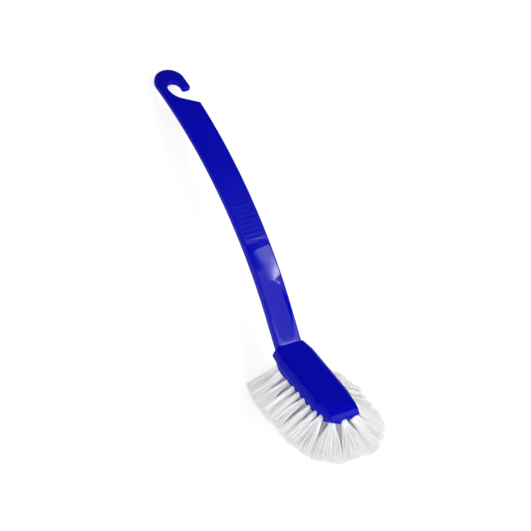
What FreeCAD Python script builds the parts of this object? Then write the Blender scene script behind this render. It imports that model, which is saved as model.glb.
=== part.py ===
# Dish brush, lying on its rear bristle tips and on the end of its handle.
# The head's own frame has X from the neck to the nose, Y to the left and Z square to the head's top. Its origin is
# the middle of the head's rear edge, level with the top of the flange. All is drawn there and then tipped to rest.
import FreeCAD, Part
import math
import os

import Sketcher
from FreeCAD import Placement, Rotation, Vector

# Driving sizes, in millimetres and degrees
SIZES = (
    ("head_length", "72", "head, rear edge to front edge"),
    ("head_width", "29", "head across the flange at its widest"),
    ("rear_width", "25.6", "head across its rear corners"),
    ("nose_width", "21.8", "head across its front edge"),
    ("shoulder_run", "11", "rear corners to the full width"),
    ("nose_run", "19", "full width to the front edge"),
    ("cap_rise", "5.2", "top face above the flange"),
    ("side_bevel", "4", "set-in of the top face along the sides"),
    ("nose_bevel", "9.4", "set-in of the top face at the nose"),
    ("nose_top_width", "20.6", "top face across its front edge"),
    ("top_shoulder_run", "7", "rear edge to the top face's full width"),
    ("low_bend_share", "0.5", "height of the side's lower bend, as a share of the cap's rise"),
    ("low_set_share", "0.25", "set-in of the side's lower bend, as a share of the top face's"),
    ("high_bend_share", "0.83", "height of the side's upper bend, as a share of the cap's rise"),
    ("high_set_share", "0.58", "set-in of the side's upper bend, as a share of the top face's"),
    ("head_round", "1", "rounding of the head's edges"),
    ("lip_depth", "1.8", "height of the flange's edge"),
    ("lip_overhang", "0.4", "flange past the wall below it"),
    ("nose_overhang", "1.2", "flange past the wall at the nose"),
    ("wall_depth", "3", "upright wall below the flange, down to the round underside"),
    ("neck_angle", "44.5", "rise of the neck from the head, degrees"),
    ("neck_run", "18", "straight part of the neck"),
    ("neck_width", "18.6", "neck across the head's rear edge"),
    ("neck_thick", "6.2", "neck, top to underside"),
    ("neck_root", "14", "reach of the neck inside the head"),
    ("neck_heel", "4.6", "lowest part of the neck below the flange"),
    ("crease_round", "2.5", "hollow between neck and head"),
    ("heel_round", "6", "rounding under the neck's heel"),
    ("arch_radius", "273", "curve of the handle's top"),
    ("arch_angle", "40.6", "turn of the handle's top, degrees"),
    ("tail_width", "21.4", "width of the handle's round end"),
    ("tail_thick", "4.2", "thickness of the handle's round end"),
    ("edge_round", "1.5", "rounding along the handle's edges"),
    ("dish_radius", "42", "hollow of the neck's top, side to side"),
    ("dish_depth", "0.45", "hollow below the neck's top"),
    ("dish_start", "7.2", "crease to the centre of the hollow's round end, along the neck"),
    ("dish_run", "26", "end of the neck to where the hollow runs out, along the curve"),
    ("eye_radius", "4.6", "round top of the hanging slot"),
    ("eye_set", "5.7", "slot's round top from the centre of the handle's round end"),
    ("hook_inner_run", "3.8", "hook's tip past the slot's round top, inner side"),
    ("hook_outer_run", "3.9", "hook's tip past the slot's round top, outer side"),
    ("slot_radius", "11.8", "curve of the slot's handle side"),
    ("slot_angle", "55", "turn of the slot's handle side, degrees"),
    ("rib_pitch", "3.3", "step from rib to rib"),
    ("rib_patch", "33.5", "length of the ribbed patch"),
    ("rib_start", "50", "end of the neck to the first rib, along the curve"),
    ("rib_length", "14", "rib, side to side"),
    ("rib_foot", "1.5", "width of a rib where it leaves the handle"),
    ("rib_height", "0.4", "height of a rib"),
    ("rib_sink", "0.3", "rib's base below the handle's top"),
    ("fan_height", "6", "line that the tufts fan out from, above the flange"),
    ("hole_width", "3.4", "diameter of a tuft's hole"),
    ("hole_depth", "6.2", "depth of a tuft's hole"),
    ("tuft_clearance", "0.05", "tuft to the wall of its hole"),
    ("tip_share", "0.932", "width of a tuft's tip, as a share of the step from tuft to tuft"),
    ("nose_tip_share", "1.4", "width of a nose tuft's tip, as a share of the step from tuft to tuft"),
    ("tuft_free", "26.4", "tuft outside its hole"),
    ("centre_free", "22.8", "centre row's tuft outside its hole"),
    ("row_back", "3.5", "first pivot behind the underside's rear centre"),
    ("row_front", "3.3", "last pivot behind the underside's front centre"),
    ("inner_nose_back", "2", "inner nose tuft's pivot behind the front centre"),
    ("outer_splay_angle", "52.2", "outer tufts from straight down, degrees"),
    ("rear_splay_angle", "43.6", "first outer tufts from straight down, degrees"),
    ("inner_splay_angle", "26.5", "inner tufts from straight down, degrees"),
    ("nose_turn_angle", "36", "step from tuft to tuft round the nose, degrees"),
    ("rear_lean_angle", "22", "first tufts' lean to the rear, degrees"),
    ("nose_lean_angle", "8", "last tufts' lean to the nose, degrees"),
    ("anchor_thick", "0.45", "thickness of the flat wire"),
    ("anchor_height", "1.8", "width of the flat wire"),
    ("anchor_bite", "0.2", "wire's reach into the wall at each end"),
    ("anchor_seat", "0.9", "wire above the floor of its hole"),
    ("anchor_clearance", "0.02", "wire to the slot that it cuts"),
    ("overrun", "2", "reach of the cuts past what they cut"),
    ("match", "0.05", "closeness at which two places count as one"),
)
# Parts of a row over which the tufts lean, from each end
REAR_LEAN_SHARE = 0.45
NOSE_LEAN_SHARE = 0.4
# Tufts in a row, and the steps of those round the nose in units of the turn between them
ROW_TUFTS = 8
NOSE_STEPS = (-2, -1, 0, 1, 2)

doc = FreeCAD.newDocument("DishBrush")
sheet = doc.addObject("Spreadsheet::Sheet", "size")
for row, (name, number, note) in enumerate(SIZES, start=1):
    sheet.set(f"A{row}", note)
    sheet.set(f"B{row}", number)
    sheet.setAlias(f"B{row}", name)
doc.recompute()


def size(name):
    """The sheet's value under this name."""
    return float(sheet.get(name))


def value(expression):
    """The number that an expression in the sheet's names comes to."""
    return float(sheet.evalExpression(expression))


def bind(item, **expressions):
    """Binds properties of an object to expressions in the sheet's names."""
    for key, expression in expressions.items():
        item.setExpression(key.replace("__", "."), expression)


def new_sketch(body, name, role):
    """A sketch on one of the body's own origin planes."""
    sketch = body.newObject("Sketcher::SketchObject", name)
    plane = next(item for item in body.Origin.OriginFeatures if item.Role == role)
    sketch.AttachmentSupport = (plane, [""])
    sketch.MapMode = "FlatFace"
    return sketch


def hold(sketch, kind, geometry, point, expression):
    """Holds one coordinate of a corner at an expression."""
    index = sketch.addConstraint(Sketcher.Constraint(kind, -1, 1, geometry, point, value(expression)))
    sketch.setExpression(f"Constraints[{index}]", expression)


def draw(sketch, corners, bows=None):
    """A closed outline through the corners; a side with a bow is the arc through that point."""
    bows = bows or {}
    spots = [Vector(value(across), value(up), 0) for across, up in corners]
    sides = []
    for index, spot in enumerate(spots):
        far = spots[(index + 1) % len(spots)]
        if index in bows:
            through = Vector(*[value(item) for item in bows[index]], 0)
            side = sketch.addGeometry(Part.Arc(spot, through, far), False)
        else:
            side = sketch.addGeometry(Part.LineSegment(spot, far), False)
        near_first = (sketch.getPoint(side, 1) - spot).Length < (sketch.getPoint(side, 2) - spot).Length
        sides.append((side, 1, 2) if near_first else (side, 2, 1))
    for index, (side, start, end) in enumerate(sides):
        after, after_start, after_end = sides[(index + 1) % len(sides)]
        sketch.addConstraint(Sketcher.Constraint("Coincident", side, end, after, after_start))
        hold(sketch, "DistanceX", side, start, corners[index][0])
        hold(sketch, "DistanceY", side, start, corners[index][1])


def mirrored(corners):
    """Corners of one side, joined by the same corners across the X axis in return order."""
    return corners + [(across, f"-({up})") for across, up in reversed(corners)]


# Handle: side view
RUN_X = "size.neck_run * cos(size.neck_angle)"
RUN_Z = "size.neck_run * sin(size.neck_angle)"
ARCH_X = f"(-{RUN_X} - size.arch_radius * sin(size.neck_angle))"
ARCH_Z = f"(size.cap_rise + {RUN_Z} - size.arch_radius * cos(size.neck_angle))"
TAIL_TURN = "(size.neck_angle - size.arch_angle)"
PAST_TURN = f"({TAIL_TURN} - size.overrun / size.arch_radius * 180 / pi)"
MEAN_TURN = f"((size.neck_angle + {PAST_TURN}) / 2)"


def on_arch(turn, depth):
    """A point at a turn from upright, this deep below the handle's curved top."""
    return (
        f"{ARCH_X} + (size.arch_radius - {depth}) * sin({turn})",
        f"{ARCH_Z} + (size.arch_radius - {depth}) * cos({turn})",
    )


handle = doc.addObject("PartDesign::Body", "handle")
side_view = new_sketch(handle, "handle_side", "XZ_Plane")
CREASE = "size.crease_round * tan(size.neck_angle / 2)"
HEEL = "size.heel_round * tan(size.neck_angle / 2)"
UNDER_X = "(-size.neck_thick * sin(size.neck_angle))"
UNDER_Z = "(size.cap_rise - size.neck_thick * cos(size.neck_angle))"
HEEL_X = f"({UNDER_X} + ({UNDER_Z} + size.neck_heel) / tan(size.neck_angle))"
draw(
    side_view,
    [
        ("size.neck_root", "size.cap_rise"),
        (CREASE, "size.cap_rise"),
        (f"-{CREASE} * cos(size.neck_angle)", f"size.cap_rise + {CREASE} * sin(size.neck_angle)"),
        on_arch("size.neck_angle", "0"),
        on_arch(PAST_TURN, "0"),
        on_arch(PAST_TURN, "size.tail_thick"),
        on_arch("size.neck_angle", "size.neck_thick"),
        (f"{HEEL_X} - {HEEL} * cos(size.neck_angle)", f"-size.neck_heel + {HEEL} * sin(size.neck_angle)"),
        (f"{HEEL_X} + {HEEL}", "-size.neck_heel"),
        ("size.neck_root", "-size.neck_heel"),
    ],
    {
        1: (
            f"{CREASE} - size.crease_round * sin(size.neck_angle / 2)",
            "size.cap_rise + size.crease_round * (1 - cos(size.neck_angle / 2))",
        ),
        3: on_arch(MEAN_TURN, "0"),
        5: on_arch(MEAN_TURN, "(size.tail_thick + size.neck_thick) / 2"),
        7: (
            f"{HEEL_X} + {HEEL} - size.heel_round * sin(size.neck_angle / 2)",
            "-size.neck_heel + size.heel_round * (1 - cos(size.neck_angle / 2))",
        ),
    },
)
strip = handle.newObject("PartDesign::Pad", "handle_strip")
strip.Profile = side_view
strip.SideType = "Symmetric"
bind(strip, Length="size.tail_width + 2 * size.overrun")
doc.recompute()

# Handle: plan, with the round end and the hanging slot
TAIL_X = f"({ARCH_X} + size.arch_radius * sin({TAIL_TURN}) + size.tail_width / 2)"
TAPER = f"asin((size.tail_width - size.neck_width) / 2 / -{TAIL_X})"
EYE_X = f"({TAIL_X} + size.eye_set)"
ROOT_X = "(size.neck_root + size.overrun)"


def edge_at(along):
    """Half the handle's width at a place along X, on the straight tapered edge."""
    return f"(size.tail_width / 2 - ({along} - {TAIL_X}) * sin({TAPER})) / cos({TAPER})"


SLOT_END_X = f"({EYE_X} + size.slot_radius * sin(size.slot_angle))"
SLOT_END_Y = "(-size.eye_radius + size.slot_radius * (1 - cos(size.slot_angle)))"
MOUTH_X = (
    f"({SLOT_END_X} + (size.tail_width / 2 - {SLOT_END_Y} - ({SLOT_END_X} - {TAIL_X}) * sin({TAPER}))"
    f" / (tan(size.slot_angle) + sin({TAPER})))"
)
plan = new_sketch(handle, "handle_plan", "XY_Plane")
OUTSIDE_X = f"{ROOT_X} + size.overrun"
BEYOND_X = f"{TAIL_X} - size.tail_width / 2 - 2 * size.overrun"
OUTSIDE_Y = "size.tail_width / 2 + 2 * size.overrun"
draw(plan, mirrored([(OUTSIDE_X, OUTSIDE_Y), (BEYOND_X, OUTSIDE_Y)]))
HOOK_CORNERS = (
    (MOUTH_X, edge_at(MOUTH_X)),
    (f"{EYE_X} + size.hook_inner_run", "size.eye_radius"),
    (f"{EYE_X} + size.hook_outer_run", edge_at(f"({EYE_X} + size.hook_outer_run)")),
)
draw(
    plan,
    [
        (ROOT_X, f"-{edge_at(ROOT_X)}"),
        (ROOT_X, edge_at(ROOT_X)),
        HOOK_CORNERS[0],
        (SLOT_END_X, SLOT_END_Y),
        (EYE_X, "-size.eye_radius"),
        (EYE_X, "size.eye_radius"),
        HOOK_CORNERS[1],
        HOOK_CORNERS[2],
        (f"{TAIL_X} + size.tail_width / 2 * sin({TAPER})", f"size.tail_width / 2 * cos({TAPER})"),
        (f"{TAIL_X} + size.tail_width / 2 * sin({TAPER})", f"-size.tail_width / 2 * cos({TAPER})"),
    ],
    {
        3: (
            f"{EYE_X} + size.slot_radius * sin(size.slot_angle / 2)",
            "-size.eye_radius + size.slot_radius * (1 - cos(size.slot_angle / 2))",
        ),
        4: (f"{EYE_X} - size.eye_radius", "0"),
        8: (f"{TAIL_X} - size.tail_width / 2", "0"),
    },
)
trim = handle.newObject("PartDesign::Pocket", "handle_outline")
trim.Profile = plan
trim.Type = "ThroughAll"
trim.SideType = "Symmetric"
doc.recompute()


def runs_along(edge, axis):
    """Whether an edge is a straight line along this axis."""
    if not isinstance(edge.Curve, Part.Line):
        return False
    return abs(edge.Curve.Direction.dot(axis)) > math.cos(math.radians(1))


def edge_names(feature, wanted):
    """Names of a feature's edges that a test picks."""
    return [f"Edge{index}" for index, edge in enumerate(feature.Shape.Edges, start=1) if wanted(edge)]


UP = Vector(0, 0, 1)
ACROSS = Vector(0, 1, 0)
hook_spots = [Vector(value(along), value(across), 0) for along, across in HOOK_CORNERS]


def is_hook_corner(edge):
    """Whether an edge stands on one of the hook's corners."""
    middle = edge.CenterOfMass
    spot = Vector(middle.x, middle.y, 0)
    return runs_along(edge, UP) and min((spot - hook).Length for hook in hook_spots) < size("match")


def is_handle_edge(edge):
    """Whether an edge goes round the handle's top or underside, or stands on a corner of the hook."""
    return is_hook_corner(edge) or not (runs_along(edge, UP) or runs_along(edge, ACROSS))


edges = handle.newObject("PartDesign::Fillet", "handle_edges")
edges.Base = (trim, edge_names(trim, is_handle_edge))
bind(edges, Radius="size.edge_round")
doc.recompute()

# Handle: thumb ribs, stepped along the curve about its centre
rib_view = new_sketch(handle, "rib_side", "XZ_Plane")
first_rib = "size.neck_angle - size.rib_start / size.arch_radius * 180 / pi"
rib_view.AttachmentOffset = Placement(Vector(0, 0, 0), Rotation(UP, -value(first_rib)))
bind(rib_view, AttachmentOffset__Base__x=ARCH_X, AttachmentOffset__Base__y=ARCH_Z)
draw(
    rib_view,
    [
        ("-size.rib_foot / 2", "size.arch_radius - size.rib_sink"),
        ("size.rib_foot / 2", "size.arch_radius - size.rib_sink"),
    ],
    {1: ("0", "size.arch_radius + size.rib_height")},
)
rib = handle.newObject("PartDesign::Pad", "thumb_rib")
rib.Profile = rib_view
rib.SideType = "Symmetric"
bind(rib, Length="size.rib_length")
doc.recompute()
ribs = handle.newObject("PartDesign::PolarPattern", "thumb_ribs")
ribs.Originals = [rib]
ribs.Axis = (rib_view, ["N_Axis"])
rib_steps = int(size("rib_patch") // size("rib_pitch"))
ribs.Occurrences = rib_steps + 1
bind(ribs, Angle=f"{rib_steps} * size.rib_pitch / size.arch_radius * 180 / pi")
handle.Tip = ribs
doc.recompute()

# Handle: shallow hollow in the neck's top, round at its lower end, which runs out on the curve below the ribs
START_X = "(-size.dish_start * cos(size.neck_angle) - size.dish_depth * sin(size.neck_angle))"
START_Z = "(size.cap_rise + size.dish_start * sin(size.neck_angle) - size.dish_depth * cos(size.neck_angle))"
end_along, end_up = on_arch("(size.neck_angle - size.dish_run / size.arch_radius * 180 / pi)", "0")
dish_low = Vector(value(START_X), 0, value(START_Z))
dish_way = Vector(value(end_along), 0, value(end_up)) - dish_low
dish_side = ACROSS.cross(dish_way).normalize()
dish_place = Placement(dish_low + dish_side * size("dish_radius"), Rotation(UP, dish_way))
dish_barrel = doc.addObject("Part::Cylinder", "dish_barrel")
dish_barrel.Placement = dish_place
bind(dish_barrel, Radius="size.dish_radius", Height="size.neck_run + size.dish_run")
dish_end = doc.addObject("Part::Sphere", "dish_end")
dish_end.Placement = dish_place
bind(dish_end, Radius="size.dish_radius")
dish = doc.addObject("Part::Fuse", "neck_dish")
dish.Base = dish_barrel
dish.Tool = dish_end
hollow = doc.addObject("Part::Cut", "hollowed_handle")
hollow.Base = handle
hollow.Tool = dish
doc.recompute()

# Head: flange and cap, whose sides bend in twice below the top face
head = doc.addObject("PartDesign::Body", "head")
FLANGE_CORNERS = [
    ("0", "size.rear_width / 2"),
    ("size.shoulder_run", "size.head_width / 2"),
    ("size.head_length - size.nose_run", "size.head_width / 2"),
    ("size.head_length", "size.nose_width / 2"),
]
TOP_CORNERS = [
    ("0", "size.neck_width / 2"),
    ("size.top_shoulder_run", "size.head_width / 2 - size.side_bevel"),
    ("size.head_length - size.nose_run", "size.head_width / 2 - size.side_bevel"),
    ("size.head_length - size.nose_bevel", "size.nose_top_width / 2"),
]


def part_way(share):
    """Corners this share of the way from the flange's to the top face's."""
    return [
        tuple(f"{low} + ({high} - ({low})) * {share}" for low, high in zip(outer, inner))
        for outer, inner in zip(FLANGE_CORNERS, TOP_CORNERS)
    ]


flange_plan = new_sketch(head, "flange_plan", "XY_Plane")
draw(flange_plan, mirrored(FLANGE_CORNERS))
cap_plans = []
for name, rise, corners in (
    ("low_bend_plan", "size.cap_rise * size.low_bend_share", part_way("size.low_set_share")),
    ("high_bend_plan", "size.cap_rise * size.high_bend_share", part_way("size.high_set_share")),
    ("top_plan", "size.cap_rise", TOP_CORNERS),
):
    level = new_sketch(head, name, "XY_Plane")
    bind(level, AttachmentOffset__Base__z=rise)
    draw(level, mirrored(corners))
    cap_plans.append(level)
doc.recompute()
lip = head.newObject("PartDesign::Pad", "flange_edge")
lip.Profile = flange_plan
lip.Reversed = True
bind(lip, Length="size.lip_depth")
doc.recompute()
cap = head.newObject("PartDesign::AdditiveLoft", "cap")
cap.Profile = flange_plan
cap.Sections = cap_plans
cap.Ruled = True
doc.recompute()


def is_head_edge(edge):
    """Whether an edge reaches past the head's flat rear."""
    return max(vertex.Point.x for vertex in edge.Vertexes) > size("match")


crown = head.newObject("PartDesign::Fillet", "head_edges")
crown.Base = (cap, edge_names(cap, is_head_edge))
bind(crown, Radius="size.head_round")
doc.recompute()

# Head: upright wall and round underside, a capsule about the line that the tufts fan out from
BELLY_PLAN = "(size.head_width / 2 - size.lip_overhang)"
BELLY_RADIUS = f"sqrt({BELLY_PLAN} ^ 2 + (size.fan_height + size.lip_depth + size.wall_depth) ^ 2)"
FAN_REAR = f"(size.lip_overhang + {BELLY_PLAN})"
FAN_FRONT = f"(size.head_length - size.lip_overhang - {BELLY_PLAN})"
barrel = doc.addObject("Part::Cylinder", "belly_barrel")
barrel.Placement = Placement(Vector(0, 0, 0), Rotation(ACROSS, 90))
bind(
    barrel,
    Radius=BELLY_RADIUS,
    Height=f"{FAN_FRONT} - {FAN_REAR}",
    Placement__Base__x=FAN_REAR,
    Placement__Base__z="size.fan_height",
)
domes = []
for name, place in (("belly_rear", FAN_REAR), ("belly_front", FAN_FRONT)):
    dome = doc.addObject("Part::Sphere", name)
    bind(dome, Radius=BELLY_RADIUS, Placement__Base__x=place, Placement__Base__z="size.fan_height")
    domes.append(dome)
capsule = doc.addObject("Part::MultiFuse", "belly_capsule")
capsule.Shapes = [barrel] + domes
wall = doc.addObject("PartDesign::Body", "wall")
wall_plan = new_sketch(wall, "wall_plan", "XY_Plane")
bind(wall_plan, AttachmentOffset__Base__z="-size.lip_depth / 2")
draw(
    wall_plan,
    mirrored(
        [
            ("size.lip_overhang", "size.rear_width / 2 - size.lip_overhang"),
            ("size.shoulder_run", BELLY_PLAN),
            ("size.head_length - size.nose_run", BELLY_PLAN),
            ("size.head_length - size.nose_overhang", "size.nose_width / 2 - size.lip_overhang"),
        ]
    ),
)
doc.recompute()
skirt = wall.newObject("PartDesign::Pad", "wall_below_flange")
skirt.Profile = wall_plan
skirt.Reversed = True
bind(skirt, Length=BELLY_RADIUS)
doc.recompute()
belly = doc.addObject("Part::Common", "belly")
belly.Base = capsule
belly.Tool = wall
blank = doc.addObject("Part::MultiFuse", "moulding_blank")
blank.Shapes = [hollow, head, belly]
blank.Refine = True
doc.recompute()

# Tufts: pivot on the fan line, angle from straight down, bearing from the nose, and the names of their free length
# and of their tip's share
fan_rear = value(FAN_REAR)
fan_front = value(FAN_FRONT)
belly_radius = value(BELLY_RADIUS)
row_start = fan_rear - size("row_back")
row_span = fan_front - size("row_front") - row_start
ROW_STEP = f"(({FAN_FRONT} - size.row_front - {FAN_REAR} + size.row_back) / {ROW_TUFTS - 1})"
row_step = value(ROW_STEP)


def rear_part(place):
    """How far a place along a row belongs to its rear, from one at its first tuft to zero."""
    return max(0, 1 - (place - row_start) / row_span / REAR_LEAN_SHARE)


def nose_part(place):
    """How far a place along a row belongs to its front, from one at its last tuft to zero."""
    return max(0, 1 - (row_start + row_span - place) / row_span / NOSE_LEAN_SHARE)


def lean_at(place):
    """Lean towards the rear at a place along a row, in degrees; a lean to the nose is negative."""
    return size("rear_lean_angle") * rear_part(place) - size("nose_lean_angle") * nose_part(place)


def outer_splay_at(place):
    """Angle of an outer tuft from straight down, in degrees."""
    return size("outer_splay_angle") - (size("outer_splay_angle") - size("rear_splay_angle")) * rear_part(place)


tuft_plan = []
for index in range(ROW_TUFTS):
    place = row_start + index * row_step
    between = place + row_step / 2
    for label, side in (("left", 1), ("right", -1)):
        outer_name, inner_name = f"tuft_{label}_{index + 1}", f"tuft_inner_{label}_{index + 1}"
        outer_bearing, inner_bearing = side * (90 + lean_at(place)), side * (90 + lean_at(between))
        inner_splay = size("inner_splay_angle")
        tuft_plan.append((outer_name, place, outer_splay_at(place), outer_bearing, "tuft_free", "tip_share"))
        tuft_plan.append((inner_name, between, inner_splay, inner_bearing, "tuft_free", "tip_share"))
    tuft_plan.append((f"tuft_centre_{index + 1}", place, 0, 0, "centre_free", "tip_share"))
for index, step in enumerate(NOSE_STEPS):
    nose_name, bearing = f"tuft_nose_{index + 1}", step * size("nose_turn_angle")
    tuft_plan.append((nose_name, fan_front, size("outer_splay_angle"), bearing, "tuft_free", "nose_tip_share"))
inner_nose = fan_front - size("inner_nose_back")
tuft_plan.append(("tuft_inner_nose", inner_nose, size("inner_splay_angle"), 0, "tuft_free", "nose_tip_share"))


def tip_radius(share):
    """Expression for the radius of a tuft's tip, from the name of its share of the step."""
    return f"(size.{share} * {ROW_STEP} / 2)"


def hole_floor(pivot, splay, bearing):
    """Where a tuft's hole ends inside the head, with its own Z out along the tuft."""
    turn = Rotation(UP, bearing) * Rotation(ACROSS, 180 - splay)
    depth = belly_radius - size("hole_depth")
    return Placement(Vector(pivot, 0, size("fan_height")) + turn.multVec(UP) * depth, turn)


floors = {name: hole_floor(pivot, splay, bearing) for name, pivot, splay, bearing, free, share in tuft_plan}

# Rest: tipped about Y until the lowest bristle tips and the handle's end are level
tail_along, tail_up = on_arch(TAIL_TURN, "size.tail_thick")
TAIL_LIFT = f"size.edge_round * (1 - sin({TAIL_TURN})) / cos({TAIL_TURN})"
tail_core = Vector(value(f"{tail_along} + size.edge_round"), 0, value(f"{tail_up} + {TAIL_LIFT}"))


def lowest(floor, reach, radius, down):
    """The point of a tuft's flat tip that lies furthest down."""
    axis = floor.Rotation.multVec(UP)
    fall = down - axis * down.dot(axis)
    return floor.multVec(UP * reach) + fall.normalize() * radius


tilt = size("neck_angle")
for attempt in range(8):
    down = Vector(-math.sin(math.radians(tilt)), 0, -math.cos(math.radians(tilt)))
    tail_low = tail_core + down * size("edge_round")
    angles = []
    for name, pivot, splay, bearing, free, share in tuft_plan:
        low = lowest(floors[name], size("hole_depth") + size(free), value(tip_radius(share)), down)
        angles.append(math.degrees(math.atan2(tail_low.z - low.z, low.x - tail_low.x)))
    tilt = max(angles)
tipped = Placement(Vector(0, 0, 0), Rotation(ACROSS, -tilt))

# Holes, wires and tufts
tools, wires, tufts = [], [], []
WIRE_LONG = "(size.hole_width + 2 * size.anchor_bite)"
for name, pivot, splay, bearing, free, share in tuft_plan:
    floor = floors[name]
    bore = doc.addObject("Part::Cylinder", f"bore_{name}")
    bind(bore, Radius="size.hole_width / 2", Height="size.hole_depth + size.overrun")
    nick = doc.addObject("Part::Box", f"nick_{name}")
    bind(
        nick,
        Length="size.anchor_thick + 2 * size.anchor_clearance",
        Width=f"{WIRE_LONG} + 2 * size.anchor_clearance",
        Height="size.anchor_height + size.anchor_clearance",
        Placement__Base__x="-size.anchor_thick / 2 - size.anchor_clearance",
        Placement__Base__y=f"-{WIRE_LONG} / 2 - size.anchor_clearance",
        Placement__Base__z="size.anchor_seat",
    )
    tool = doc.addObject("Part::Fuse", f"hole_{name}")
    tool.Base = bore
    tool.Tool = nick
    tool.Placement = floor
    tools.append(tool)
    wire = doc.addObject("Part::Box", f"wire_{name}")
    bind(wire, Length="size.anchor_thick", Width=WIRE_LONG, Height="size.anchor_height")
    corner = Vector(-size("anchor_thick") / 2, -value(WIRE_LONG) / 2, size("anchor_seat"))
    wire.Placement = Placement(floor.multVec(corner), floor.Rotation)
    wires.append(wire)
    root = doc.addObject("Part::Cylinder", f"root_{name}")
    bind(root, Radius="size.hole_width / 2 - size.tuft_clearance", Height="size.hole_depth")
    flare = doc.addObject("Part::Cone", f"flare_{name}")
    bind(
        flare,
        Radius1="size.hole_width / 2 - size.tuft_clearance",
        Radius2=tip_radius(share),
        Height=f"size.{free}",
        Placement__Base__z="size.hole_depth",
    )
    bundle = doc.addObject("Part::Fuse", f"bundle_{name}")
    bundle.Base = root
    bundle.Tool = flare
    tuft = doc.addObject("Part::Cut", name)
    tuft.Base = bundle
    window = doc.addObject("Part::Box", f"window_{name}")
    for key, expression in nick.ExpressionEngine:
        window.setExpression(key, expression)
    tuft.Tool = window
    tuft.Label = name
    tufts.append(tuft)
holes = doc.addObject("Part::Compound", "tuft_holes")
holes.Links = tools
moulding = doc.addObject("Part::Cut", "handle_and_head")
moulding.Base = blank
moulding.Tool = holes
anchors = doc.addObject("Part::Compound", "tuft_anchors")
anchors.Links = wires
doc.recompute()

# The part's origin is under the middle of its box, on the surface that it lies on
pieces = [moulding, anchors] + tufts
for piece in (moulding, anchors):
    piece.Placement = tipped
for tuft in tufts:
    tuft.Placement = tipped * floors[tuft.Name]
doc.recompute()
box = FreeCAD.BoundBox()
for piece in pieces:
    box.add(piece.Shape.optimalBoundingBox())
lift = Placement(Vector(-box.Center.x, -box.Center.y, -box.ZMin), Rotation())
for piece in pieces:
    piece.Placement = lift * piece.Placement
doc.recompute()

for item in doc.Objects:
    if "Invalid" in item.State or "Error" in item.State:
        raise RuntimeError(f"{item.Name} failed: {item.State}")
for piece in pieces:
    if piece.Shape.isNull() or not piece.Shape.isValid():
        raise RuntimeError(f"{piece.Label} has no valid shape")
if len(moulding.Shape.Solids) > 1:
    raise RuntimeError("the moulding fell apart")
os.makedirs("parts", exist_ok=True)
for piece in pieces:
    piece.Shape.exportStep(os.path.join("parts", f"{piece.Label}.step"))
print(f"{len(pieces)} nodes, tilt {tilt:.2f}, box {box.XLength:.1f} x {box.YLength:.1f} x {box.ZLength:.1f}")
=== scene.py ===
import logging
import math
from dataclasses import dataclass, field
from enum import Enum
from typing import Any, Dict, List, Tuple

import bpy
import numpy as np
from mathutils import Matrix, Vector


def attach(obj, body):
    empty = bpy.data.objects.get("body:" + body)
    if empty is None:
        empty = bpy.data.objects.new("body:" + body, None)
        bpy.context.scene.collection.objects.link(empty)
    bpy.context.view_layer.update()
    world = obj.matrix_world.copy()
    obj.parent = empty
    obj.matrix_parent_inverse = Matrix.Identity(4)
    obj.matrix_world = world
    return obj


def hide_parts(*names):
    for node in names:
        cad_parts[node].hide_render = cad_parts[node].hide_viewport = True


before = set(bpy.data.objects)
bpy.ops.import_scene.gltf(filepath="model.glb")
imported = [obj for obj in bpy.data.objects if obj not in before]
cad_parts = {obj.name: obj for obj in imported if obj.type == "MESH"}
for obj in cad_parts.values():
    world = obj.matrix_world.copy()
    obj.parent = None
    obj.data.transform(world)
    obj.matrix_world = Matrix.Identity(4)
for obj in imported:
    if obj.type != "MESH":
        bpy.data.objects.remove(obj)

Array = np.ndarray
Pair = Tuple[float, float]
Triple = Tuple[float, float, float]
Colour = Tuple[float, float, float, float]

LOG = logging.getLogger("dish_brush")
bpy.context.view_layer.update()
MILLIMETRE = 0.001
BODY = "root"

FULL_TURN = 2.0 * math.pi
GOLDEN_ANGLE = math.pi * (3.0 - math.sqrt(5.0))
SIDEWAYS = 90.0
QUAD = 4
FIRST_SEED = 4100
FLOOR_CLEARANCE = 0.0002

WHITE: Colour = (1.0, 1.0, 1.0, 1.0)
PLAIN_DETAIL = 2.0
RICH_DETAIL = 3.0

# Sockets of a Mix node go by number, because their names repeat for each type of data
MIX_SHARE = 0
MIX_NUMBERS = (2, 3)
MIX_COLOURS = (6, 7)
MIX_NUMBER_OUT = 0
MIX_COLOUR_OUT = 2


# Where the head's own frame lies in the brush's rest frame
@dataclass(frozen=True)
class HeadFrame:
    """The head's own frame: X to the nose, Y to the left, Z square to the head's top, in millimetres.

    Attributes:
        tilt: Degrees by which the head's X axis rises above the surface that the brush lies on.
        lift: Place of the frame's origin in the rest frame, in millimetres.
    """

    tilt: float = 33.31470
    lift: Triple = (58.89644, 0.0, 25.33399)

    def turned(self, vectors: Array) -> Array:
        """Turns directions from the head's frame to the rest frame.

        The turn is about Y: X goes to (cos, 0, sin) of the tilt and Z to (-sin, 0, cos).

        Args:
            vectors: Directions in the head's frame, three numbers in the last axis.

        Returns:
            The same directions in the rest frame.
        """
        cos, sin = math.cos(math.radians(self.tilt)), math.sin(math.radians(self.tilt))
        turn = np.array(((cos, 0.0, sin), (0.0, 1.0, 0.0), (-sin, 0.0, cos)))
        return np.asarray(vectors, float) @ turn

    def placed(self, points: Array) -> Array:
        """Carries points from the head's frame, in millimetres, to the rest frame, in metres.

        Args:
            points: Points in the head's frame, three numbers in the last axis.

        Returns:
            The same points in the rest frame, in metres.
        """
        return (self.turned(points) + np.asarray(self.lift)) * MILLIMETRE


HEAD = HeadFrame()


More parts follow.
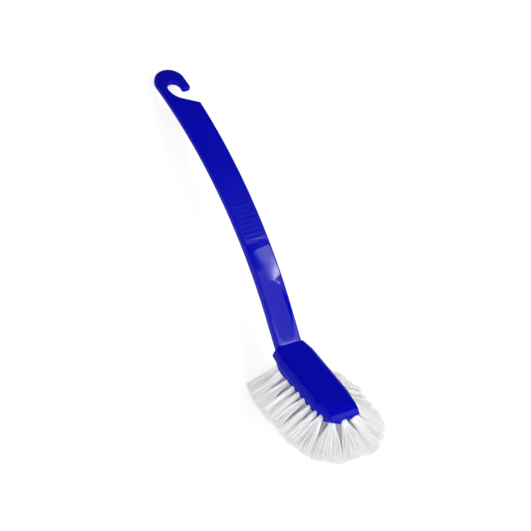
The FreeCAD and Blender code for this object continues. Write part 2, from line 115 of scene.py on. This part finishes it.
# Shader building
class Shader:
    """A new material on a Principled surface, with short ways to add and join nodes."""

    def __init__(self, name: str) -> None:
        """Makes the material and keeps its tree and its Principled node.

        Args:
            name: Name of the material.
        """
        self.material: bpy.types.Material = bpy.data.materials.new(name)
        self.material.use_nodes = True
        self.tree: bpy.types.NodeTree = self.material.node_tree
        self.surface: bpy.types.Node = self.tree.nodes["Principled BSDF"]

    def add(self, kind: str, inputs: Dict[Any, Any] | None = None, **settings: Any) -> bpy.types.Node:
        """Adds a node, with numbers or links on its inputs.

        Args:
            kind: The node's type, such as ShaderNodeTexNoise.
            inputs: Input names or numbers with a plain value, or with an output socket to link from.
            **settings: Properties of the node itself.

        Returns:
            The new node.
        """
        node = self.tree.nodes.new(kind)
        for key, setting in settings.items():
            setattr(node, key, setting)
        self.fill(node, inputs or {})
        return node

    def fill(self, node: bpy.types.Node, inputs: Dict[Any, Any]) -> None:
        """Sets a node's inputs from plain values, or links them from output sockets.

        Args:
            node: The node.
            inputs: Input names or numbers with values or sockets.
        """
        for key, given in inputs.items():
            if isinstance(given, bpy.types.NodeSocket):
                self.tree.links.new(given, node.inputs[key])
            else:
                node.inputs[key].default_value = given

    def blend(self, share: Any, ends: Pair) -> bpy.types.NodeSocket:
        """A number that goes from one end to the other as a share goes from zero to one.

        Args:
            share: The share, as a number or a socket.
            ends: The numbers at zero and at one.

        Returns:
            The number's socket.
        """
        low, high = ends
        node = self.add("ShaderNodeMapRange", {"Value": share, "To Min": low, "To Max": high})
        return node.outputs["Result"]

    def between(self, share: Any, low: Any, high: Any) -> bpy.types.NodeSocket:
        """A number that goes from one socket's value to another's as a share goes from zero to one.

        Args:
            share: The share, as a number or a socket.
            low: The socket that counts at zero.
            high: The socket that counts at one.

        Returns:
            The number's socket.
        """
        first, second = MIX_NUMBERS
        node = self.add("ShaderNodeMix", {MIX_SHARE: share, first: low, second: high}, data_type="FLOAT")
        return node.outputs[MIX_NUMBER_OUT]

    def tint(self, share: Any, low: Any, high: Any, way: str = "MIX") -> bpy.types.NodeSocket:
        """A colour that goes from low to high as a share goes from zero to one.

        Args:
            share: The share, as a number or a socket.
            low: The colour at zero, or its socket.
            high: The colour at one, or its socket.
            way: How the second colour is laid on the first.

        Returns:
            The colour's socket.
        """
        first, second = MIX_COLOURS
        inputs = {MIX_SHARE: share, first: low, second: high}
        node = self.add("ShaderNodeMix", inputs, data_type="RGBA", blend_type=way)
        return node.outputs[MIX_COLOUR_OUT]

    def noise(self, scale: float, detail: float, coordinates: Any = None) -> bpy.types.NodeSocket:
        """The value of a noise.

        Args:
            scale: Its scale, per metre.
            detail: How many finer layers it has.
            coordinates: Socket of the coordinates it is read on; Object coordinates where none is given.

        Returns:
            The value's socket.
        """
        if coordinates is None:
            coordinates = self.add("ShaderNodeTexCoord").outputs["Object"]
        node = self.add("ShaderNodeTexNoise", {"Vector": coordinates, "Scale": scale, "Detail": detail})
        return node.outputs["Fac"]


# Finishes
@dataclass(frozen=True)
class MouldedPlastic:
    """Dyed polypropylene, polished at the neck and head and eroded to a dull grain along the grip.

    Attributes:
        deep: Colour where the dye lies thickest.
        bright: Colour where it lies thinnest.
        cloud_scale: Scale of the dye's clouds, per metre.
        polished: Least and most roughness at the neck and head.
        dull: Least and most roughness along the grip.
        smear_scale: Scale of the smears that the roughness follows, per metre.
        grip_end: Where the dull grip ends, along X in metres.
        grip_fade: Length over which the gloss changes, in metres.
        grain_scale: Scale of the grip's grain, per metre.
        grain_depth: Depth of that grain, in metres.
        grain_strength: Strength of the grain where it is polished and where it is dull.
        index: Refractive index.
        gleam: Level of the surface's mirror light.
    """

    deep: Colour = (0.0003, 0.0005, 0.31, 1.0)
    bright: Colour = (0.0006, 0.0012, 0.39, 1.0)
    cloud_scale: float = 55.0
    polished: Pair = (0.02, 0.055)
    dull: Pair = (0.35, 0.46)
    smear_scale: float = 340.0
    grip_end: float = -0.011
    grip_fade: float = 0.012
    grain_scale: float = 2400.0
    grain_depth: float = 0.00004
    grain_strength: Pair = (0.004, 0.5)
    index: float = 1.49
    gleam: float = 0.08

    def material(self) -> bpy.types.Material:
        """Makes the plastic: dye clouds, a gloss that changes along the handle, and grain where it is dull.

        Returns:
            The material.
        """
        shader = Shader("blue_plastic")
        place = shader.add("ShaderNodeTexCoord").outputs["Object"]
        along = shader.add("ShaderNodeSeparateXYZ", {"Vector": place}).outputs["X"]
        ends = {"Value": along, "From Min": self.grip_end, "From Max": self.grip_end - self.grip_fade}
        grip = shader.add("ShaderNodeMapRange", ends, interpolation_type="SMOOTHSTEP").outputs["Result"]
        clouds = shader.noise(self.cloud_scale, RICH_DETAIL, place)
        smears = shader.noise(self.smear_scale, PLAIN_DETAIL, place)
        grain = shader.noise(self.grain_scale, RICH_DETAIL, place)
        shine, matt = shader.blend(smears, self.polished), shader.blend(smears, self.dull)
        strength = shader.blend(grip, self.grain_strength)
        relief = {"Strength": strength, "Distance": self.grain_depth, "Height": grain}
        bump = shader.add("ShaderNodeBump", relief)
        shader.fill(
            shader.surface,
            {
                "Base Color": shader.tint(clouds, self.deep, self.bright),
                "Roughness": shader.between(grip, shine, matt),
                "Normal": bump.outputs["Normal"],
                "IOR": self.index,
                "Specular IOR Level": self.gleam,
            },
        )
        return shader.material


@dataclass(frozen=True)
class BristleFilament:
    """White synthetic filament, each one of its own tone, painted darker and bluer at its root: painted
    shade and a painted reflection of the blue head.

    Attributes:
        root: Colour where the filaments leave the head, darker and bluer than the tip: painted shade and a
            painted reflection of the blue head.
        tip: Colour at their cut ends.
        dim: Share of each colour that the darkest filaments keep.
        roughness: Least and most roughness.
        scuff_scale: Scale of the scuffs that the roughness follows, per metre.
        index: Refractive index.
    """

    # The root colour is painted shade and a painted blue reflection of the head, darker and bluer than the
    # tip
    root: Colour = (0.93, 0.94, 0.96, 1.0)
    tip: Colour = (0.97, 0.97, 0.96, 1.0)
    dim: Colour = (0.86, 0.86, 0.86, 1.0)
    roughness: Pair = (0.34, 0.5)
    scuff_scale: float = 900.0
    index: float = 1.53

    def material(self) -> bpy.types.Material:
        """Makes the filament: a tint along it, with painted shade and a painted blue reflection of the head
        at the root, times a tone of its own.

        Returns:
            The material.
        """
        shader = Shader("white_bristle")
        along = shader.add("ShaderNodeAttribute", attribute_name="along").outputs["Fac"]
        tone = shader.add("ShaderNodeAttribute", attribute_name="tone").outputs["Fac"]
        # Along each filament the root end is painted darker and bluer: painted shade and a painted
        # reflection of the blue head
        tint = shader.tint(along, self.root, self.tip)
        shade = shader.tint(tone, self.dim, WHITE)
        scuffs = shader.noise(self.scuff_scale, PLAIN_DETAIL)
        shader.fill(
            shader.surface,
            {
                "Base Color": shader.tint(1.0, tint, shade, "MULTIPLY"),
                "Roughness": shader.blend(scuffs, self.roughness),
                "IOR": self.index,
            },
        )
        return shader.material


@dataclass(frozen=True)
class FlatWire:
    """Bright drawn steel wire that pins each tuft in its hole.

    Attributes:
        colour: The steel's colour.
        roughness: Least and most roughness.
        mark_scale: Scale of the drawing marks that the roughness follows, per metre.
    """

    colour: Colour = (0.6, 0.6, 0.61, 1.0)
    roughness: Pair = (0.2, 0.36)
    mark_scale: float = 3000.0

    def material(self) -> bpy.types.Material:
        """Makes the steel: metal with fine drawing marks.

        Returns:
            The material.
        """
        shader = Shader("flat_wire")
        marks = shader.noise(self.mark_scale, PLAIN_DETAIL)
        shader.fill(
            shader.surface,
            {
                "Base Color": self.colour,
                "Metallic": 1.0,
                "Roughness": shader.blend(marks, self.roughness),
            },
        )
        return shader.material


# Bristles
class Side(Enum):
    """The two sides of the head, with the sign of their Y."""

    LEFT = 1
    RIGHT = -1

    @property
    def label(self) -> str:
        """The side's name in the tufts' names."""
        return self.name.lower()


@dataclass(frozen=True)
class TuftForm:
    """How a tuft's filaments open out.

    Attributes:
        spread: Half the tip's width along the skirt and across it, in millimetres.
        flare: Power of the share along a filament by which it leaves the tuft's axis.
        count: Number of filaments.
    """

    spread: Pair
    flare: float
    count: int


@dataclass(frozen=True)
class TuftPlace:
    """One tuft's hole and length.

    Attributes:
        node: Name of the tuft's solid.
        pivot: Where its axis meets the fan line, along X in the head's frame, in millimetres.
        splay: Degrees from straight down.
        bearing: Degrees from the nose, to the left.
        free: Length outside the hole, in millimetres.
        form: How its filaments open out.
    """

    node: str
    pivot: float
    splay: float
    bearing: float
    free: float
    form: TuftForm

    @property
    def axis(self) -> Array:
        """The way out of the hole, in the head's frame."""
        splay, bearing = math.radians(self.splay), math.radians(self.bearing)
        across = math.sin(splay)
        return np.array((across * math.cos(bearing), across * math.sin(bearing), -math.cos(splay)))

    @property
    def along(self) -> Array:
        """The way along the skirt, square to the axis and level with the head's top."""
        bearing = math.radians(self.bearing)
        return np.array((-math.sin(bearing), math.cos(bearing), 0.0))


def faded(away: float, share: float) -> float:
    """A part that is one at a row's end and falls in a straight line to zero.

    Args:
        away: Distance from that end, as a share of the row.
        share: Where zero is reached, as a share of the row.

    Returns:
        The part, never below zero and above one only past the row's end.
    """
    return max(0.0, 1.0 - away / share)


@dataclass
class TuftFan:
    """All tufts, fanned out from one line inside the head; lengths in millimetres, angles in degrees.

    Attributes:
        fan_height: Height of the fan line in the head's frame.
        fan_radius: Distance from the fan line to the holes' mouths.
        fan_rear: Rear end of the fan line, along X.
        fan_front: Front end of the fan line, along X.
        row_back: How far behind the fan line's rear end the rows start.
        row_front: How far behind its front end they stop.
        row_tufts: Tufts in a row.
        rear_share: Share of a row over which the rear tufts' lean and splay fade.
        nose_share: Share of a row over which the front tufts' lean fades.
        outer_splay: Splay of the outer rows and the nose tufts.
        rear_splay: Splay at the rear end of the outer rows.
        inner_splay: Splay of the inner rows and the inner nose tuft.
        rear_lean: Lean of the rearmost tufts to the rear.
        nose_lean: Lean of the foremost tufts to the nose.
        nose_turn: Turn from one nose tuft to the next.
        nose_steps: Nose tufts on each side of the middle one.
        inner_nose_back: How far behind the fan line's front end the inner nose tuft stands.
        free: Length outside the holes.
        centre_free: The same in the centre row.
        row_form: Form of the outer rows' tufts.
        inner_form: Form of the inner rows' tufts.
        centre_form: Form of the centre row's tufts.
        nose_form: Form of the nose tufts.
        inner_nose_form: Form of the inner nose tuft.
        finish: The filaments' finish.
    """

    fan_height: float = 6.0
    fan_radius: float = 17.7609
    fan_rear: float = 14.5
    fan_front: float = 57.5
    row_back: float = 3.5
    row_front: float = 3.3
    row_tufts: int = 8
    rear_share: float = 0.45
    nose_share: float = 0.4
    outer_splay: float = 52.2
    rear_splay: float = 43.6
    inner_splay: float = 26.5
    rear_lean: float = 22.0
    nose_lean: float = 8.0
    nose_turn: float = 36.0
    nose_steps: int = 2
    inner_nose_back: float = 2.0
    free: float = 26.4
    centre_free: float = 22.8
    row_form: TuftForm = TuftForm((4.2, 3.1), 1.0, 130)
    inner_form: TuftForm = TuftForm((4.4, 3.6), 1.0, 110)
    centre_form: TuftForm = TuftForm((3.8, 3.8), 1.1, 100)
    nose_form: TuftForm = TuftForm((12.0, 3.6), 0.85, 280)
    inner_nose_form: TuftForm = TuftForm((7.5, 4.4), 0.9, 190)
    finish: BristleFilament = field(default_factory=BristleFilament)

    def places(self) -> List[TuftPlace]:
        """Every tuft's place, row by row.

        Along a row the first tufts lean to the rear and splay less, the last ones lean to the nose, and
        both fade in a straight line over a share of the row. Tufts of the inner rows stand half a step on.

        Returns:
            The places, in a fixed order.
        """
        start = self.fan_rear - self.row_back
        span = self.fan_front - self.row_front - start
        step = span / (self.row_tufts - 1)
        made: List[TuftPlace] = []
        for index in range(self.row_tufts):
            number = index + 1
            place, between = start + index * step, start + (index + 0.5) * step
            rear = faded((place - start) / span, self.rear_share)
            outer = self.outer_splay - (self.outer_splay - self.rear_splay) * rear
            for side in Side:
                node = f"tuft_{side.label}_{number}"
                turn = side.value * (SIDEWAYS + self.lean(place, start, span))
                made.append(TuftPlace(node, place, outer, turn, self.free, self.row_form))
                node = f"tuft_inner_{side.label}_{number}"
                turn = side.value * (SIDEWAYS + self.lean(between, start, span))
                made.append(TuftPlace(node, between, self.inner_splay, turn, self.free, self.inner_form))
            node = f"tuft_centre_{number}"
            made.append(TuftPlace(node, place, 0.0, 0.0, self.centre_free, self.centre_form))
        for number, steps in enumerate(range(-self.nose_steps, self.nose_steps + 1), start=1):
            node, turn = f"tuft_nose_{number}", steps * self.nose_turn
            made.append(TuftPlace(node, self.fan_front, self.outer_splay, turn, self.free, self.nose_form))
        node, place = "tuft_inner_nose", self.fan_front - self.inner_nose_back
        made.append(TuftPlace(node, place, self.inner_splay, 0.0, self.free, self.inner_nose_form))
        return made

    def lean(self, place: float, start: float, span: float) -> float:
        """Lean to the rear at a place along a row.

        Args:
            place: The place along X.
            start: The row's first place.
            span: The row's length.

        Returns:
            Degrees; a lean to the nose is negative.
        """
        rear = faded((place - start) / span, self.rear_share)
        nose = faded((start + span - place) / span, self.nose_share)
        return self.rear_lean * rear - self.nose_lean * nose

    def build(self) -> List[bpy.types.Object]:
        """Makes one bundle of filaments for each tuft, in place of its solid.

        Returns:
            The bundles.
        """
        material = self.finish.material()
        made: List[bpy.types.Object] = []
        for number, place in enumerate(self.places()):
            pivot = np.array((place.pivot, 0.0, self.fan_height))
            mouth = pivot + place.axis * self.fan_radius
            bundle = FilamentBundle(mouth, place.axis, place.along, place.free, place.form, number)
            piece = bundle.build(place.node.replace("tuft", "bristles"))
            piece.data.materials.append(material)
            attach(piece, BODY)
            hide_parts(place.node)
            made.append(piece)
        return made


def circle(angles: Array) -> Array:
    """Points on a circle of radius one: the cosine and the sine of each angle.

    Args:
        angles: The angles, in radians.

    Returns:
        The points, two numbers in a new last axis.
    """
    return np.stack((np.cos(angles), np.sin(angles)), axis=-1)


@dataclass
class FilamentBundle:
    """A tuft's filaments, packed in its hole and spreading to its tip; lengths in millimetres.

    Attributes:
        mouth: Middle of the hole's mouth, in the head's frame.
        axis: The way out of the hole.
        along: The way along the skirt, square to the axis.
        free: Length outside the hole.
        form: How the filaments open out.
        seed: Number of the bundle's own chance.
        rings: Rings along a filament's tube.
        sides: Corners of a ring; four, so that faces like those of the walls close the ends.
        thick: Thickness of a filament.
        worn: Share of it that the worn cut end keeps.
        inside: Length inside the hole.
        root_radius: Radius of the bundle in the hole.
        proud: How far the longest filaments stand past the tuft's solid.
        trim: Most by which a filament is shorter than that.
        trim_shape: The two powers of the beta chance that trims it.
        tuft_trim: Most by which the whole tuft is shorter.
        clump: How far the tips draw together in clumps, in radians.
        clumps: Number of those clumps.
        stray: How far the tips stray by chance, a filament and the whole tuft.
        bow: How far the middle bows out by chance, a filament's and the whole tuft's.
    """

    mouth: Array
    axis: Array
    along: Array
    free: float
    form: TuftForm
    seed: int
    rings: int = 7
    sides: int = QUAD
    thick: float = 0.36
    worn: float = 0.62
    inside: float = 3.4
    root_radius: float = 1.5
    proud: float = 0.5
    trim: float = 2.4
    trim_shape: Pair = (1.1, 2.6)
    tuft_trim: float = 1.5
    clump: float = 0.22
    clumps: int = 3
    stray: Pair = (0.45, 0.6)
    bow: Pair = (0.22, 0.25)

    def paths(self, chance: np.random.Generator) -> Tuple[Array, Array]:
        """Middle lines of the filaments.

        Filament i starts on a sunflower disc, at root radius times the square root of (i + 1/2) / count
        and i golden angles, and ends on an oval one that is wider along the skirt. In between, its offset
        from the axis grows with a power of the share of its length outside the hole, and a sine of that
        share bows it a little to one side. Its cut end stands proud of the tuft's solid or falls short by
        chance.

        Args:
            chance: The bundle's own chance.

        Returns:
            Points of each filament's middle line, filament by ring by three; the way square to both the
            axis and the skirt.
        """
        count = self.form.count
        order = np.arange(count)
        reach = np.sqrt((order + 0.5) / count)[:, None]
        angle = order * GOLDEN_ANGLE + chance.uniform(0.0, FULL_TURN)
        turn = angle + self.clump * np.sin(self.clumps * angle + chance.uniform(0.0, FULL_TURN))
        roots = circle(angle) * reach * self.root_radius
        tips = circle(turn) * reach * np.asarray(self.form.spread)
        tips = tips + self.sideways(chance, self.stray)
        length = self.free + self.proud - self.trim * chance.beta(*self.trim_shape, count)
        length = length - chance.uniform(0.0, self.tuft_trim)
        share = np.linspace(0.0, 1.0, self.rings)
        run = share * (length + self.inside)[:, None] - self.inside
        out = np.clip(run / length[:, None], 0.0, 1.0)[:, :, None]
        bow = self.sideways(chance, self.bow)
        offset = roots[:, None, :] + (tips - roots)[:, None, :] * out**self.form.flare
        offset = offset + bow[:, None, :] * np.sin(math.pi * out)
        other = np.cross(self.axis, self.along)
        line = self.mouth + run[:, :, None] * self.axis
        line = line + offset[:, :, :1] * self.along + offset[:, :, 1:] * other
        return line, other

    def sideways(self, chance: np.random.Generator, spread: Pair) -> Array:
        """Sideways moves by chance, one for each filament plus one for the whole tuft.

        Args:
            chance: The bundle's own chance.
            spread: How far a filament and the whole tuft move, as standard deviations.

        Returns:
            Each filament's move, along the skirt and across it.
        """
        single, whole = spread
        return chance.normal(0.0, single, (self.form.count, 2)) + chance.normal(0.0, whole, 2)

    def build(self, name: str) -> bpy.types.Object:
        """Makes the bundle's mesh: a thin four-sided tube along each middle line, closed at both ends.

        A tube's ring is its middle point plus half the thickness times cosine and sine of the ring's
        angles along the two directions square to the tuft. The last ring is drawn in, so that cut ends
        look worn round.

        Args:
            name: Name of the piece.

        Returns:
            The piece, at the origin, with each vertex's share along its filament and its filament's tone.
        """
        chance = np.random.default_rng(FIRST_SEED + self.seed)
        line, other = self.paths(chance)
        count = self.form.count
        angle = np.linspace(0.0, FULL_TURN, self.sides, endpoint=False)
        turn = angle[None, :] + chance.uniform(0.0, math.pi, count)[:, None]
        ring = np.cos(turn)[:, :, None] * self.along + np.sin(turn)[:, :, None] * other
        width = np.full(self.rings, self.thick / 2.0)
        width[-1] *= self.worn
        points = line[:, :, None, :] + width[None, :, None, None] * ring[:, None, :, :]
        points = HEAD.placed(points)
        points[..., 2] = np.maximum(points[..., 2], FLOOR_CLEARANCE)
        corner = np.arange(self.sides)
        first = np.arange(count)[:, None, None] * self.rings * self.sides
        level = first + np.arange(self.rings - 1)[None, :, None] * self.sides
        low, after = level + corner, level + (corner + 1) % self.sides
        walls = np.stack((low, after, after + self.sides, low + self.sides), axis=-1).reshape(-1, QUAD)
        base = first[:, 0, :] + corner[::-1]
        cut = first[:, 0, :] + (self.rings - 1) * self.sides + corner
        faces = np.concatenate((walls, base, cut))
        mesh = bpy.data.meshes.new(name)
        mesh.from_pydata(points.reshape(-1, 3), [], faces.tolist())
        mesh.polygons.foreach_set("use_smooth", np.ones(len(faces), bool))
        share = np.broadcast_to(np.linspace(0.0, 1.0, self.rings)[None, :, None], points.shape[:3])
        tone = np.broadcast_to(chance.random(count)[:, None, None], points.shape[:3])
        for key, numbers in (("along", share), ("tone", tone)):
            layer = mesh.attributes.new(key, "FLOAT", "POINT")
            layer.data.foreach_set("value", np.ascontiguousarray(numbers, np.float32).ravel())
        mesh.update()
        piece = bpy.data.objects.new(name, mesh)
        bpy.context.scene.collection.objects.link(piece)
        return piece


# The moulding and the wires keep their solids and get their finishes
@dataclass
class Moulding:
    """The one-piece handle and head.

    Attributes:
        node: Name of its solid.
        finish: Its plastic.
    """

    node: str = "handle_and_head"
    finish: MouldedPlastic = field(default_factory=MouldedPlastic)

    def dress(self) -> bpy.types.Object:
        """Puts the plastic on the moulding's solid.

        Returns:
            The moulding.
        """
        return dressed(self.node, self.finish.material())


@dataclass
class TuftWires:
    """The flat wires that hold the tufts.

    Attributes:
        node: Name of their solids' node.
        finish: Their steel.
    """

    node: str = "tuft_anchors"
    finish: FlatWire = field(default_factory=FlatWire)

    def dress(self) -> bpy.types.Object:
        """Puts the steel on the wires' solids.

        Returns:
            The wires.
        """
        return dressed(self.node, self.finish.material())


def dressed(node: str, material: bpy.types.Material) -> bpy.types.Object:
    """Puts a material on a CAD node in place of its own.

    Args:
        node: Name of the node.
        material: The material.

    Returns:
        The node's object.
    """
    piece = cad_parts[node]
    piece.data.materials.clear()
    piece.data.materials.append(material)
    return piece


# Studio
@dataclass(frozen=True)
class SoftBox:
    """A rectangular soft lamp.

    Attributes:
        name: Name of the lamp.
        place: Its middle, in metres.
        aim: The point it faces.
        size: Its two sides, in metres.
        power: Its power in watts.
    """

    name: str
    place: Triple
    aim: Triple
    size: Pair
    power: float

    def light(self) -> bpy.types.Object:
        """Makes the lamp.

        Returns:
            The lamp, in its place and turned to its aim.
        """
        lamp = bpy.data.lights.new(self.name, "AREA")
        lamp.shape = "RECTANGLE"
        lamp.size, lamp.size_y = self.size
        lamp.energy = self.power
        holder = bpy.data.objects.new(self.name, lamp)
        way = Vector(self.aim) - Vector(self.place)
        holder.location = self.place
        holder.rotation_euler = way.to_track_quat("-Z", "Y").to_euler()
        bpy.context.scene.collection.objects.link(holder)
        return holder


@dataclass
class PhotoCamera:
    """A long lens at the photo's angle: directions and places in the head's frame, in millimetres.

    Attributes:
        right: The picture's way to the right.
        up: The picture's way up.
        toward: The way from the brush to the camera.
        mark: The point that the picture's middle is measured from.
        shift_right: How far to the right of the mark the picture's middle lies.
        shift_up: How far above the mark it lies.
        width: Width that the picture shows there.
        lens: Focal length.
        sensor: Width of the sensor.
        reach: Farthest distance that is drawn, in metres.
    """

    right: Triple = (0.5193, 0.844, 0.1308)
    up: Triple = (-0.6186, 0.2664, 0.7389)
    toward: Triple = (0.5888, -0.4646, 0.6604)
    mark: Triple = (0.0, 0.0, 3.024)
    shift_right: float = -16.17
    shift_up: float = 52.47
    width: float = 350.5
    lens: float = 1200.0
    sensor: float = 36.0
    reach: float = 200.0

    def build(self) -> bpy.types.Object:
        """Makes the camera: its target is the mark moved right and up, and its distance fits the width.

        Returns:
            The camera, set as the scene's own.
        """
        right, up, toward = (np.asarray(item) for item in (self.right, self.up, self.toward))
        target = np.asarray(self.mark) + right * self.shift_right + up * self.shift_up
        spot = target + toward * self.width * self.lens / self.sensor
        data = bpy.data.cameras.new("camera")
        data.lens, data.sensor_width = self.lens, self.sensor
        data.clip_end = self.reach
        camera = bpy.data.objects.new("camera", data)
        turn = Matrix([HEAD.turned(item) for item in (right, up, toward)]).transposed()
        camera.rotation_euler = turn.to_euler()
        camera.location = HEAD.placed(spot)
        bpy.context.scene.collection.objects.link(camera)
        bpy.context.scene.camera = camera
        return camera


@dataclass
class Studio:
    """White floor, even sky, soft lamps and the camera.

    The softboxes light the brush. The window and the panes are weak and mostly show as glints on the neck.

    Attributes:
        floor_half: Half the floor's width, in metres.
        floor_bounce: Grey of the floor for the light that it throws back.
        floor_shade: Grey of the floor as it is seen, which takes the shadow.
        floor_glow: Glow of the floor as it is seen, which makes it white.
        sky: Strength of the sky.
        lamps: The lamps.
        camera: The camera.
    """

    floor_half: float = 30.0
    floor_bounce: Colour = (0.8, 0.8, 0.8, 1.0)
    floor_shade: Colour = (0.3, 0.3, 0.3, 1.0)
    floor_glow: float = 0.76
    sky: float = 0.2
    lamps: Tuple[SoftBox, ...] = (
        SoftBox("neck_softbox", (0.299, 0.606, 1.08), (0.04, 0.0, 0.03), (0.55, 0.7), 4.5),
        SoftBox("front_softbox", (0.22, -1.25, 0.75), (0.03, 0.0, 0.03), (0.9, 0.7), 11.0),
        SoftBox("camera_softbox", (0.22, -0.78, 1.42), (0.03, 0.0, 0.03), (0.8, 0.8), 5.5),
        SoftBox("side_softbox", (1.0, 0.15, 1.15), (0.06, 0.0, 0.03), (0.8, 0.8), 8.0),
        SoftBox("back_softbox", (0.25, 1.2, 0.6), (0.06, 0.0, 0.03), (0.6, 0.5), 2.4),
        SoftBox("crease_pane", (-0.19, 0.492, 0.92), (0.055, 0.004, 0.03), (0.26, 0.03), 1.0),
        SoftBox("rim_pane", (0.28, 0.494, 0.925), (0.05, 0.002, 0.031), (0.05, 0.08), 0.09),
        SoftBox("window", (-0.03, 0.53, 0.92), (0.005, 0.0, 0.038), (0.15, 0.12), 0.9),
        SoftBox("window_pane", (0.048, 0.496, 0.966), (0.012, 0.005, 0.037), (0.2, 0.006), 0.28),
    )
    camera: PhotoCamera = field(default_factory=PhotoCamera)

    def build(self) -> None:
        """Makes the floor, the sky, the lamps and the camera."""
        bpy.context.scene.view_settings.view_transform = "Standard"
        self.lay_floor()
        self.paint_sky()
        for lamp in self.lamps:
            lamp.light()
        self.camera.build()

    def seen(self, tree: bpy.types.NodeTree) -> bpy.types.NodeSocket:
        """Tells rays that see a surface from the light that bounces off it.

        Args:
            tree: The material's tree.

        Returns:
            A socket with one for rays from the camera, from gloss and through glass, and else zero.
        """
        path = tree.nodes.new("ShaderNodeLightPath")
        found = path.outputs["Is Camera Ray"]
        for kind in ("Is Glossy Ray", "Is Transmission Ray"):
            either = tree.nodes.new("ShaderNodeMath")
            either.operation = "MAXIMUM"
            tree.links.new(found, either.inputs[0])
            tree.links.new(path.outputs[kind], either.inputs[1])
            found = either.outputs[0]
        return found

    def lay_floor(self) -> bpy.types.Object:
        """Lays a flat white sheet that keeps the brush's shadow.

        Returns:
            The sheet.
        """
        half = self.floor_half
        corners = [(-half, -half, 0.0), (half, -half, 0.0), (half, half, 0.0), (-half, half, 0.0)]
        mesh = bpy.data.meshes.new("floor")
        mesh.from_pydata(corners, [], [tuple(range(QUAD))])
        floor = bpy.data.objects.new("floor", mesh)
        bpy.context.scene.collection.objects.link(floor)
        material = bpy.data.materials.new("white_sheet")
        material.use_nodes = True
        tree = material.node_tree
        tree.nodes.clear()
        paper = tree.nodes.new("ShaderNodeBsdfDiffuse")
        paper.inputs["Color"].default_value = self.floor_bounce
        shaded = tree.nodes.new("ShaderNodeBsdfDiffuse")
        shaded.inputs["Color"].default_value = self.floor_shade
        glow = tree.nodes.new("ShaderNodeEmission")
        glow.inputs["Strength"].default_value = self.floor_glow
        bright = tree.nodes.new("ShaderNodeAddShader")
        tree.links.new(shaded.outputs[0], bright.inputs[0])
        tree.links.new(glow.outputs[0], bright.inputs[1])
        either = tree.nodes.new("ShaderNodeMixShader")
        tree.links.new(self.seen(tree), either.inputs[0])
        tree.links.new(paper.outputs[0], either.inputs[1])
        tree.links.new(bright.outputs[0], either.inputs[2])
        output = tree.nodes.new("ShaderNodeOutputMaterial")
        tree.links.new(either.outputs[0], output.inputs["Surface"])
        mesh.materials.append(material)
        return floor

    def paint_sky(self) -> bpy.types.World:
        """Makes an even sky that lights the brush softly.

        Returns:
            The world with that sky.
        """
        world = bpy.data.worlds.new("studio")
        bpy.context.scene.world = world
        world.use_nodes = True
        soft = world.node_tree.nodes["Background"]
        soft.inputs["Color"].default_value = WHITE
        soft.inputs["Strength"].default_value = self.sky
        return world


def main() -> None:
    """Builds the brush's pieces and the studio in order, and reports each piece."""
    logging.basicConfig(level=logging.INFO, format="%(name)s: %(message)s")
    LOG.info("dressed %s", Moulding().dress().name)
    LOG.info("dressed %s", TuftWires().dress().name)
    for piece in TuftFan().build():
        LOG.info("made %s, %d faces", piece.name, len(piece.data.polygons))
    Studio().build()


if __name__ == "__main__":
    main()
